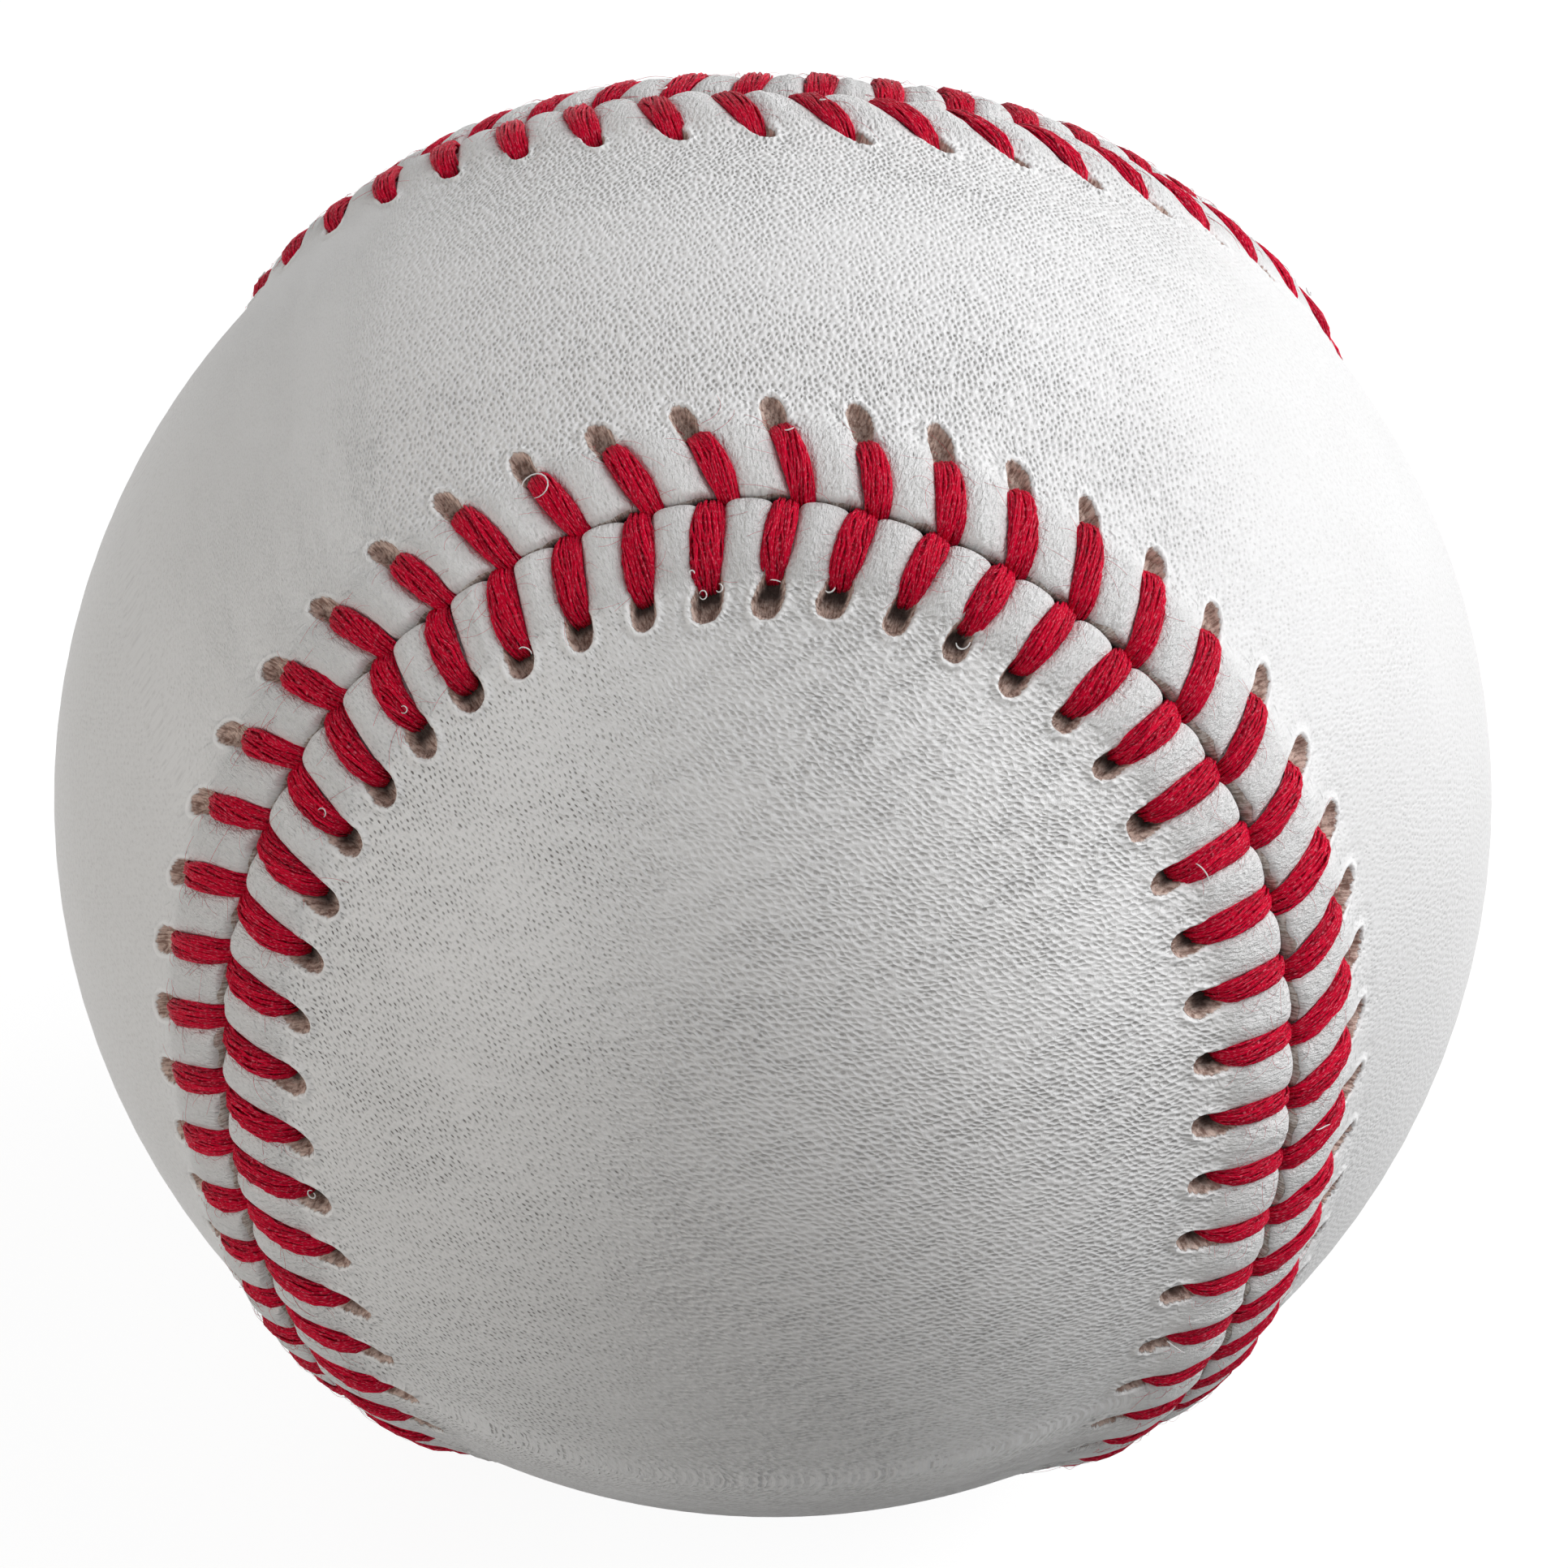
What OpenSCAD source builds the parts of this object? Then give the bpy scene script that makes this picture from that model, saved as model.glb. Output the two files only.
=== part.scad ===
// A stitched leather ball: a cork and rubber centre, wound yarn, and two
// figure-eight cover panels laced edge to edge with a double row of stitches.
// The origin is the centre of the ball, +Z runs up through the waist of the
// upper panel, and the round end of the lower panel faces -Y.

/* [Cover] */
// Distance round the bare leather, clear of the seam
ball_girth = 228.6; // [215:0.1:240]
// Thickness of the leather
leather_t = 1.3; // [1:0.05:1.6]
// Gap left between the cut edges of the two panels
seam_gap = 0.2; // [0.1:0.05:0.4]
// Angle from the top of the ball down to the seam at the panel's waist
waist_angle = 24.6; // [22:0.1:28]
// How far the seam swings sideways off an even course, as an angle
sway_angle = 20.4; // [18:0.1:22]
// How much squarer than a circle the round end of a panel is
square_share = 0.019; // [0:0.001:0.04]
// Height of the puffed leather between two stitches
puff_h = 0.9; // [0.7:0.05:1]

/* [Stitches] */
// Number of stitches round the seam, each with one leg on either panel
stitch_count = 108; // [96:4:112]
// Width of one leg of thread
thread_w = 1.4; // [1.1:0.05:1.5]
// Thickness of one leg of thread
thread_t = 0.7; // [0.5:0.05:0.8]
// Height of the middle of the thread over the bare leather, halfway along a leg
thread_lift = 0.65; // [0.6:0.05:0.8]
// Radius that a leg arches to between the seam and its hole
thread_arch_r = 4.4; // [4.2:0.1:6]
// Distance from the seam to the far end of a leg
stitch_reach = 4.8; // [4.4:0.1:5.2]
// How far a leg on the upper panel leans back along the seam by its hole
upper_lean = 1.75; // [1.2:0.05:2]
// How far a leg on the lower panel leans back along the seam by its hole
lower_lean = 0.65; // [0.3:0.05:1]
// How far a leg on the lower panel starts behind its partner
lower_lag = 0.5; // [0:0.05:0.8]
// Clear space between the thread and the leather
thread_gap = 0.05; // [0.03:0.01:0.08]
// Length of the needle hole left open past the end of a leg
hole_open = 0.9; // [0.6:0.1:1.2]

/* [Centre] */
// Diameter of the cork
cork_d = 20.6; // [16:0.1:22]
// Thickness of the two black rubber cups
inner_rubber_t = 4; // [3:0.1:5]
// Thickness of the washer between the two cups
washer_t = 1.2; // [0.8:0.1:2]
// Thickness of the red rubber jacket
outer_rubber_t = 2.4; // [2:0.1:3]

/* [Windings] */
// Thickness of the second winding, of white wool
white_wool_t = 1.8; // [1.2:0.1:2.4]
// Thickness of the third winding, of grey wool
outer_wool_t = 2.2; // [1.6:0.1:2.8]
// Thickness of the finishing winding, of white cotton
cotton_t = 0.6; // [0.4:0.05:0.8]
// Thickness of the cement that holds the cover down
cement_t = 0.15; // [0.1:0.05:0.2]

/* [Hidden] */
$fn = 240;

// Radii of the layers, each laid straight on the one inside it
ball_r = ball_girth / (2 * PI);
cement_r = ball_r - leather_t;
cotton_r = cement_r - cement_t;
outer_wool_r = cotton_r - cotton_t;
white_wool_r = outer_wool_r - outer_wool_t;
inner_wool_r = white_wool_r - white_wool_t;
cork_r = cork_d / 2;
inner_rubber_r = cork_r + inner_rubber_t;
outer_rubber_r = inner_rubber_r + outer_rubber_t;

// The seam is one closed curve on a sphere, and its parameter t runs from 0 to
// 720 degrees. At 0 it crosses the middle of the front, over the lower panel.
full_t = 720;
front_turn = -90;
t_step = 0.5;

function seam_tilt(t) = (1 + square_share) * cos(t) - square_share * cos(3 * t);
function seam_polar(t) = 90 - (90 - waist_angle) * seam_tilt(t);
function seam_turn(t) = t / 2 + sway_angle * sin(2 * t) + front_turn;
function direction(polar, turn) = [sin(polar) * cos(turn), sin(polar) * sin(turn), cos(polar)];
function seam_dir(t) = direction(seam_polar(t), seam_turn(t));
function unit(v) = v / norm(v);
function seam_along(t) = unit(seam_dir(t + t_step) - seam_dir(t - t_step));

// Distance along the seam against t, on a ball of radius 1, summed in short steps
seam_table = [
    for (t = 0, s = 0; t <= full_t; s = s + norm(seam_dir(t + t_step) - seam_dir(t)), t = t + t_step)
        [s, t]
];
seam_length = ball_r * seam_table[len(seam_table) - 1][0];
stitch_pitch = seam_length / stitch_count;
function seam_t(s) = lookup((s - seam_length * floor(s / seam_length)) / ball_r, seam_table);

// Direction of the point that lies s along the seam and d from it, towards the
// upper panel
function arc_angle(d) = d / ball_r * 180 / PI;
function band_dir(s, d) =
    let (t = seam_t(s), across = cross(seam_dir(t), seam_along(t)))
    seam_dir(t) * cos(arc_angle(d)) + across * sin(arc_angle(d));

// A stitch's place along the seam, shared by the thread and the leather under it
first_stitch_share = 0.5;
edge_d = seam_gap / 2;
leg_mid_d = (edge_d + stitch_reach) / 2;
function stitch_s(i, d, lean, lag) =
    (i + first_stitch_share) * stitch_pitch - lag - lean * d / stitch_reach;

// The arch of a leg. Its belly is the arc that the leather's groove follows, and
// its outer corner stops short of the panel's edge.
belly_arch_r = thread_arch_r - thread_t / 2;
back_arch_r = thread_arch_r + thread_t / 2;
belly_lift = thread_lift - thread_t / 2 - thread_gap;
function leg_run(lean) = norm([stitch_reach, lean]) / stitch_reach;
function leg_half_angle(lean) = asin((leg_mid_d - edge_d) * leg_run(lean) / back_arch_r);
function groove_h(d, lean) =
    let (u = min(abs(d - leg_mid_d) * leg_run(lean), belly_arch_r))
    belly_lift - belly_arch_r + sqrt(pow(belly_arch_r, 2) - pow(u, 2)) + pow(u, 2) / (2 * ball_r);

// The leather between two stitches puffs up. Across the seam it has five rows of
// points: the cut edge, two on the puff, the needle hole and the end of the hole.
hole_d = stitch_reach + thread_gap;
far_d = hole_d + hole_open;
row_shares = [0, 0.34, 0.68, 1];
puff_shares = [0.35, 1, 0.75, 0.2, 0];
function row_d(row) = row < len(row_shares)
    ? edge_d + (hole_d - edge_d) * row_shares[row]
    : far_d;

// Along the seam each stitch has four points: both sides of its groove, and both
// shoulders of the puffed leather next to it
groove_half_w = thread_w / 2 + thread_gap;
groove_wall_w = thread_w / 4;
station_w = [
    -groove_half_w - groove_wall_w, -groove_half_w,
    groove_half_w, groove_half_w + groove_wall_w
];
function is_groove(k) = k == 1 || k == 2;

// How much the lines square to the seam spread or close in at distance d
function spread(s, d) =
    norm(band_dir(s + thread_w, d) - band_dir(s - thread_w, d)) * ball_r / (2 * thread_w);
function band_point(i, k, row, lean, lag) =
    let (
        d = row_d(row),
        s = stitch_s(i, d, lean, lag),
        on_stitch = row < len(row_shares),
        widen = on_stitch ? leg_run(lean) / spread(s, d) : 1,
        h = is_groove(k) && on_stitch ? groove_h(d, lean) : puff_h * puff_shares[row]
    )
    band_dir(s + station_w[k] * widen, d) * (ball_r + h);

// Past the band the leather is bare. Rows of points run from each stitch to the
// panel's spine, the line down its middle, where the two sides of it meet.
quarter = stitch_count / 4;
bare_rows = 5;
spine_inset = 30;
spine_angle = 180 - waist_angle - spine_inset;
function spine_place(i) =
    i < quarter ? i : i < 3 * quarter ? 2 * quarter - 1 - i : i - 4 * quarter;
function spine_dir(place) = direction(spine_angle * (place + 0.5) / quarter, 0);
function bare_point(i, row, lean, lag) =
    let (
        start = band_dir(stitch_s(i, far_d, lean, lag), far_d),
        share = (row + 1) / (bare_rows + 1)
    )
    unit(start * (1 - share) + spine_dir(spine_place(i)) * share) * ball_r;

// A cover panel is one closed skin, drawn down to a point at the centre of the
// ball and then cut off at the cement
module panel_wedge(lean, lag) {
    rows = len(puff_shares);
    stations = 4 * stitch_count;
    bare_start = rows * stations;
    spine_start = bare_start + bare_rows * stitch_count;
    centre = spine_start + 2 * quarter;
    function band_id(row, j) = row * stations + j % stations;
    function bare_id(row, i) = row < bare_rows
        ? bare_start + row * stitch_count + i % stitch_count
        : spine_start + quarter + spine_place(i % stitch_count);
    points = [
        for (row = [0 : rows - 1], i = [0 : stitch_count - 1], k = [0 : 3])
            band_point(i, k, row, lean, lag),
        for (row = [0 : bare_rows - 1], i = [0 : stitch_count - 1]) bare_point(i, row, lean, lag),
        for (place = [-quarter : quarter - 1]) spine_dir(place) * ball_r,
        [0, 0, 0]
    ];
    wall_faces = [for (j = [0 : stations - 1]) [centre, band_id(0, j), band_id(0, j + 1)]];
    band_faces = [
        for (row = [0 : rows - 2], j = [0 : stations - 1], half = [0, 1])
            half == 0
                ? [band_id(row, j), band_id(row + 1, j), band_id(row, j + 1)]
                : [band_id(row, j + 1), band_id(row + 1, j), band_id(row + 1, j + 1)]
    ];
    join_faces = [
        for (i = [0 : stitch_count - 1], k = [0 : 4])
            k < 4
                ? [band_id(rows - 1, 4 * i + k), bare_id(0, k < 3 ? i : i + 1),
                    band_id(rows - 1, 4 * i + k + 1)]
                : [band_id(rows - 1, 4 * i + 3), bare_id(0, i), bare_id(0, i + 1)]
    ];
    bare_faces = [
        for (row = [0 : bare_rows - 1], i = [0 : stitch_count - 1], half = [0, 1])
            if (half == 0 || bare_id(row + 1, i) != bare_id(row + 1, i + 1))
                half == 0
                    ? [bare_id(row, i), bare_id(row + 1, i), bare_id(row, i + 1)]
                    : [bare_id(row, i + 1), bare_id(row + 1, i), bare_id(row + 1, i + 1)]
    ];
    polyhedron(points, concat(wall_faces, band_faces, join_faces, bare_faces));
}

module cover_panel(lean, lag) {
    difference() {
        panel_wedge(lean, lag);
        sphere(r = cement_r);
    }
}

// Turns what is drawn on the upper panel into its twin on the lower one
module lower_twin() {
    mirror([0, 0, 1]) rotate([0, 0, 90]) children();
}

// One leg of thread, with its axis across the leg and its outer side along +X
module thread_leg(lean) {
    half_angle = leg_half_angle(lean);
    flat_w = thread_w - thread_t;
    rotate([0, 0, -half_angle]) rotate_extrude(angle = 2 * half_angle, $fn = 64)
        translate([thread_arch_r, 0]) {
            square([thread_t, flat_w], center = true);
            for (side = [-1, 1]) translate([0, side * flat_w / 2]) circle(d = thread_t, $fn = 36);
        }
}

module thread_legs(lean, lag) {
    for (i = [0 : stitch_count - 1]) {
        inner = band_dir(stitch_s(i, edge_d, lean, lag), edge_d);
        outer = band_dir(stitch_s(i, stitch_reach, lean, lag), stitch_reach);
        out = unit(inner + outer);
        along = unit(outer - inner);
        side = cross(out, along);
        axis_at = out * (ball_r + thread_lift - thread_arch_r);
        multmatrix([
            [out.x, along.x, side.x, axis_at.x],
            [out.y, along.y, side.y, axis_at.y],
            [out.z, along.z, side.z, axis_at.z],
            [0, 0, 0, 1]
        ]) thread_leg(lean);
    }
}

// A closed layer from one radius to another
module layer(outer_r, inner_r) {
    difference() {
        sphere(r = outer_r);
        sphere(r = inner_r);
    }
}

// Half of the black rubber round the cork, from half the washer up
module rubber_cup() {
    intersection() {
        layer(inner_rubber_r, cork_r);
        translate([0, 0, washer_t / 2]) cylinder(r = ball_r, h = ball_r);
    }
}

module cork_core() {
    color("burlywood") sphere(r = cork_r);
}

module inner_rubber_cup_upper() {
    color("dimgray") rubber_cup();
}

module inner_rubber_cup_lower() {
    color("dimgray") mirror([0, 0, 1]) rubber_cup();
}

module rubber_washer() {
    color("indianred") intersection() {
        layer(inner_rubber_r, cork_r);
        cylinder(r = ball_r, h = washer_t, center = true);
    }
}

module outer_rubber_jacket() {
    color("firebrick") layer(outer_rubber_r, inner_rubber_r);
}

module first_wool_winding() {
    color("slategray") layer(inner_wool_r, outer_rubber_r);
}

module second_wool_winding() {
    color("ivory") layer(white_wool_r, inner_wool_r);
}

module third_wool_winding() {
    color("darkgray") layer(outer_wool_r, white_wool_r);
}

module cotton_winding() {
    color("linen") layer(cotton_r, outer_wool_r);
}

module cement_coat() {
    color("wheat") layer(cement_r, cotton_r);
}

module upper_cover_panel() {
    color("whitesmoke") cover_panel(upper_lean, 0);
}

module lower_cover_panel() {
    color("gainsboro") lower_twin() cover_panel(lower_lean, lower_lag);
}

module upper_thread_legs() {
    color("crimson") thread_legs(upper_lean, 0);
}

module lower_thread_legs() {
    color("crimson") lower_twin() thread_legs(lower_lean, lower_lag);
}

cork_core();
inner_rubber_cup_upper();
inner_rubber_cup_lower();
rubber_washer();
outer_rubber_jacket();
first_wool_winding();
second_wool_winding();
third_wool_winding();
cotton_winding();
cement_coat();
upper_cover_panel();
lower_cover_panel();
upper_thread_legs();
lower_thread_legs();
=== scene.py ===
"""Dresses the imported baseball: leather, thread, inner layers, floor, light and camera.

Everything is in metres and in the frame of the CAD part: the origin is the centre of the
ball, +Z runs up through the waist of the upper panel, and -Y is the side that the camera
sees. Sizes in the code are in millimetres until a mesh is made.
"""
import math
import bpy
import numpy as np
from mathutils import Matrix, Quaternion, Vector


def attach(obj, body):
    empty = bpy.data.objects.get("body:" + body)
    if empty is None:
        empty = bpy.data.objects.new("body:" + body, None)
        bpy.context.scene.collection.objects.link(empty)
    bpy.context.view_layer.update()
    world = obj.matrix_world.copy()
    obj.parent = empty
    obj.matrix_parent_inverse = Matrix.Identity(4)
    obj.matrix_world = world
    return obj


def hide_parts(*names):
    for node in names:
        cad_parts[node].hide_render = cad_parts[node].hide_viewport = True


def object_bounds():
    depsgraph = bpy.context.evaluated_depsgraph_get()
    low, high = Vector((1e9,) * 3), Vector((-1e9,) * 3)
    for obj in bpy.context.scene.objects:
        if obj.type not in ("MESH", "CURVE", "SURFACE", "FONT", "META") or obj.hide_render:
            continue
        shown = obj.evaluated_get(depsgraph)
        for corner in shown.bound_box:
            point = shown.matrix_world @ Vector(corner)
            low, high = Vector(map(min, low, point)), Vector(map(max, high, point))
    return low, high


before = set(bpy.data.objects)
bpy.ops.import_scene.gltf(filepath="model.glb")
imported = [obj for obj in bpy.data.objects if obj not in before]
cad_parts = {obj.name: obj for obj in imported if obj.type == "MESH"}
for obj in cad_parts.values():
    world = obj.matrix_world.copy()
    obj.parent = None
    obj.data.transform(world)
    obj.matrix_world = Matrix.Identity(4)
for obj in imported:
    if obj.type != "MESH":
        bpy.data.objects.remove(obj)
cad_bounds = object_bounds()

MM = 0.001

# The driving sizes, as in the CAD part
GIRTH = 228.6
LEATHER_T = 1.3
BALL_R = GIRTH / (2 * math.pi)
CEMENT_R = BALL_R - LEATHER_T
# The seam's course: the angle of the waist, the sideways sway and the squareness of the lobes
WAIST, SWAY, SQUARE = 24.6, 20.4, 0.019
STITCHES = 108
# How far a stitch reaches from the seam, and the middle of its thread over the bare leather
REACH = 4.8
THREAD_LIFT = 0.65
# The leather's underside stays this clear of the cement
CLEAR = 0.02


class Side:
    """One panel with its row of stitches, drawn in the upper panel's place. Its stitches
    lean along the seam by lean at their far end, and start lag behind."""

    def __init__(self, name, lean, lag, lower, seed):
        self.name, self.lean, self.lag, self.lower = name, lean, lag, lower
        # how much longer a leaning stitch is than its reach
        self.run = math.hypot(REACH, lean) / REACH
        self.random = np.random.default_rng(seed)

    def place(self, points):
        """Turns points drawn in the upper panel's place into this side's own."""
        if not self.lower:
            return points
        x, y, z = points[..., 0], points[..., 1], points[..., 2]
        return np.stack([-y, x, -z], -1)


UPPER = Side("upper", 1.75, 0.0, False, 11)
LOWER = Side("lower", 0.65, 0.5, True, 23)


# The seam, as in the CAD part

def unit(v):
    """Vectors of length 1."""
    return v / np.linalg.norm(v, axis=-1, keepdims=True)


def direction(polar, turn):
    """Unit vectors by their angle from +Z and their turn round it, in radians."""
    return np.stack([np.sin(polar) * np.cos(turn), np.sin(polar) * np.sin(turn), np.cos(polar)], -1)


def seam_dir(t):
    """Direction of a point of the seam. t runs from 0 to 720 degrees, once round it."""
    a = np.radians(t)
    tilt = (1 + SQUARE) * np.cos(a) - SQUARE * np.cos(3 * a)
    polar = math.pi / 2 - math.radians(90 - WAIST) * tilt
    turn = a / 2 + math.radians(SWAY) * np.sin(2 * a) - math.pi / 2
    return direction(polar, turn)


SEAM_T = np.arange(0, 720.01, 0.1)
SEAM_STEPS = np.linalg.norm(np.diff(seam_dir(SEAM_T), axis=0), axis=1)
SEAM_S = np.concatenate([[0], np.cumsum(SEAM_STEPS)]) * BALL_R
SEAM_LEN = SEAM_S[-1]
PITCH = SEAM_LEN / STITCHES


def band_dir(s, d):
    """Direction of the point that lies s along the seam and d from it."""
    s, d = np.broadcast_arrays(s, d)
    t = np.interp(np.mod(s, SEAM_LEN), SEAM_S, SEAM_T)
    here = seam_dir(t)
    along = unit(seam_dir(t + 0.05) - seam_dir(t - 0.05))
    across = np.cross(here, along)
    angle = (d / BALL_R)[..., None]
    return here * np.cos(angle) + across * np.sin(angle)


def spread(s, d):
    """How much the lines square to the seam spread out or close in at distance d."""
    step = 1.4
    gap = band_dir(s + step, d) - band_dir(s - step, d)
    return np.linalg.norm(gap, axis=-1) * BALL_R / (2 * step)


def smooth(low, high, x):
    """A smooth step from 0 at low to 1 at high."""
    x = np.clip((x - low) / (high - low), 0, 1)
    return x * x * (3 - 2 * x)


def from_front(side, s):
    """How far along the seam s lies from the middle of the seam's front stretch."""
    s = s + (SEAM_LEN / 4 if side.lower else 0)
    return (s + SEAM_LEN / 2) % SEAM_LEN - SEAM_LEN / 2


def in_front(f):
    """1 on the stretch of seam that the photograph shows, and 0 behind it."""
    return smooth(115, 80, np.abs(f))


def bump_at(f, middle, width):
    """A smooth bump of height 1."""
    return np.exp(-((f - middle) / width) ** 2)


def leg_s(side, i, d):
    """Where leg i runs at distance d: the hand that sewed it drifted a little."""
    s = (i + 0.5) * PITCH
    f = from_front(side, s)
    near = in_front(f)
    # the stretch over the top of the ball, by the distance from its middle
    back = f - np.sign(f) * SEAM_LEN / 2
    far = smooth(60, 25, np.abs(back))
    if side.lower:
        drift = (-0.3 * smooth(10, 0, f) - 0.3 * smooth(-10, -35, f)
                 + 0.5 * smooth(-43, -52, f)) * near + (0.9 + 0.02 * back) * far
        lean = side.lean + (0.35 * smooth(5, -5, f) - 0.6 * smooth(20, 34, f)) * near
    else:
        drift = (-0.4 * smooth(0, -22, f) + 0.2 * smooth(18, 35, f)) * near
        drift = drift + (1.55 + 0.03 * back) * far
        lean = side.lean + 0.75 * far + 0.8 * smooth(31, 44, f) * near
    return s - side.lag + drift - lean * d / REACH


def pull(side, f):
    """How far the holes, and the legs' ends, lie from their usual place along the seam."""
    near = in_front(f)
    if side.lower:
        both = 0.8 * smooth(-42, -54, f) - 0.45 * smooth(42, 55, f)
        hole = 0.45 * bump_at(f, 0, 9) + 0.65 * smooth(22, 34, f) - 0.05 + both
        end = 0.25 * bump_at(f, -6, 9) - 0.45 * bump_at(f, 12, 5) + 0.55 * smooth(22, 34, f) + both
    else:
        hole = 0.45 * bump_at(f, -39, 7) - 0.3 * bump_at(f, -24, 8)
        hole = hole + 0.15 * smooth(0, 12, f) + 0.3 * smooth(20, 32, f)
        end = 0.65 * bump_at(f, -39, 7) - 0.2 * bump_at(f, -24, 8)
        end = end + 0.5 * smooth(8, 18, f) - 0.5 * smooth(-48, -55, f)
    return hole * near, end * near + 0.6 * smooth(130, 160, np.abs(f))


def ripple(points, wavelength, seed, waves=14):
    """Smooth random unevenness, about -1 to 1, from a few plane waves."""
    random = np.random.default_rng(seed)
    total = 0
    for _ in range(waves):
        k = random.normal(size=3)
        k *= 2 * math.pi / (wavelength * random.uniform(0.7, 1.5) * np.linalg.norm(k))
        total = total + np.sin(points @ k + random.uniform(0, 2 * math.pi))
    return total / math.sqrt(waves)


# Leather

# Each panel has a profile over the puffed leather between two stitches and one along a
# stitch, as pairs of (distance from the seam, height over the bare leather), both with the
# same steps, from the cement up the cut edge and out to the bare leather.
PUFF = {
    "upper": [(0.06, -1.26), (0.07, -0.75), (0.09, -0.30), (0.10, 0.08), (0.13, 0.40), (0.22, 0.63),
              (0.46, 0.78), (1.05, 0.87), (1.8, 0.91), (2.6, 0.87), (3.4, 0.70), (4.2, 0.46),
              (5.0, 0.26), (5.8, 0.12), (6.6, 0.03), (7.6, 0.0)],
    "lower": [(0.06, -1.26), (0.02, -0.80), (-0.04, -0.35), (-0.06, 0.0), (0.02, 0.34), (0.20, 0.60),
              (0.48, 0.78), (0.95, 0.88), (1.7, 0.92), (2.5, 0.88), (3.4, 0.71), (4.2, 0.46),
              (5.0, 0.26), (5.8, 0.12), (6.6, 0.03), (7.6, 0.0)],
}
GROOVE = [(0.18, -1.26), (0.22, -0.90), (0.28, -0.60), (0.36, -0.32), (0.46, -0.10), (0.60, 0.02),
          (0.88, 0.12), (1.35, 0.22), (1.9, 0.30), (2.6, 0.31), (3.4, 0.24), (4.2, 0.10),
          (5.0, 0.10), (5.8, 0.06), (6.6, 0.02), (7.6, 0.0)]
# Where the rows of the mesh lie, in steps of the profiles: close together up the cut edge
# and over the needle holes
ROWS = np.concatenate([
    np.linspace(0, 3, 5)[:-1], np.linspace(3, 7, 9)[:-1], np.linspace(7, 10.7, 11)[:-1],
    np.linspace(10.7, 13.6, 17)[:-1], np.linspace(13.6, 15, 4)])
# Columns of the mesh beside a stitch, as distances from its line, and on the puffed
# leather, as shares of what is left to the middle between two stitches
NEAR_W = [0.0, 0.22, 0.42, 0.56, 0.68, 0.80, 0.95]
PUFF_W = [0.25, 0.5, 0.75, 1.0]
COLUMNS = 2 * (len(NEAR_W) + len(PUFF_W)) - 2
# Needle holes: distance from the seam, half the width, how far they run towards the seam and
# away from it, and how much they tilt
HOLE = {
    "upper": {"d": 4.82, "half_w": 0.58, "near": 1.9, "far": 0.84, "tilt": 0.06},
    "lower": {"d": 4.75, "half_w": 0.72, "near": 1.9, "far": 0.88, "tilt": 0.0},
}
# One radian round a hole in the map of the creases round it
FAN_STEP = 3.2
# Leather that lies off the seam and its holes has this place in both maps
OFF_MAP = [0.0, 9.0]


def curve_at(points, where):
    """A smooth curve through evenly stepped points, at fractional steps."""
    points = np.asarray(points, float)
    index = np.clip(np.floor(where).astype(int), 0, len(points) - 2)
    x = (where - index)[:, None]
    slope = np.gradient(points, axis=0)
    a, b = points[index], points[index + 1]
    return (a * (1 + 2 * x) * (1 - x) ** 2 + slope[index] * x * (1 - x) ** 2
            + b * x * x * (3 - 2 * x) + slope[index + 1] * x * x * (x - 1))


def grain_uv(points):
    """Nearly undistorted places on a panel in mm: along its spine, and off it."""
    n = unit(points)
    along = np.arctan2(n[..., 0], n[..., 2])
    off = np.arcsin(np.clip(n[..., 1], -1, 1))
    sign = np.where(along < 0, -1.0, 1.0)
    # round the middle of a lobe the grain follows distance and bearing from that middle
    far = np.arccos(np.clip(np.abs(n[..., 0]), -1, 1))
    bearing = np.arctan2(n[..., 1], -sign * n[..., 2])
    lobe_x = sign * (math.pi / 2 + far * np.cos(bearing))
    lobe_y = far * np.sin(bearing)
    share = smooth(math.radians(32), math.radians(66), np.abs(along))
    u = along * (1 - share) + lobe_x * share
    v = off * (1 - share) + lobe_y * share
    return np.stack([u, v], -1) * BALL_R


def leather_columns(side, d_of_row):
    """Where each column of the band lies, row by row: its s, its stitch, its distance
    from the stitch's line and half the distance between two stitches."""
    stitch = np.arange(STITCHES)[None, :, None]
    d = d_of_row[:, None, None]
    here, following = leg_s(side, stitch, d), leg_s(side, stitch + 1, d)
    scale_here = side.run / spread(here, d)
    scale_following = side.run / spread(following, d)
    gap = (following - here) / 2
    near = np.array(NEAR_W)
    share = np.array(PUFF_W)
    edge_here, edge_following = near[-1] * scale_here, near[-1] * scale_following
    rising = np.concatenate([
        here + near * scale_here,
        here + edge_here + (gap - edge_here) * share], -1)
    falling = np.concatenate([
        following - (edge_following + (gap - edge_following) * share[:-1])[..., ::-1],
        following - (near[1:] * scale_following)[..., ::-1]], -1)
    s = np.concatenate([rising, falling], -1)
    first = len(NEAR_W) + len(PUFF_W)
    w = np.concatenate([
        (rising - here) / scale_here, (falling - following) / scale_following], -1)
    half = np.concatenate([
        np.broadcast_to(gap / scale_here, rising.shape),
        np.broadcast_to(gap / scale_following, falling.shape)], -1)
    owner = np.broadcast_to(stitch, s.shape).copy()
    owner[..., first:] += 1
    rows = len(d_of_row)
    return [a.reshape(rows, -1) for a in (s, w, half, owner % STITCHES)]


def thread_half_width(side, x):
    """Half the width of a leg of thread at share x of the way from the seam to its hole."""
    belly = np.sin(np.pi * np.clip(x, 0, 1) ** 0.9) ** 0.65
    return (0.58 + 0.21 * belly) if side.lower else (0.54 + 0.19 * belly)


def slimmer(side, f):
    """The share of a leg's usual width that the leg at f keeps."""
    return 1 - 0.36 * smooth(26, 54, f) * in_front(f) * side.lower


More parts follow.
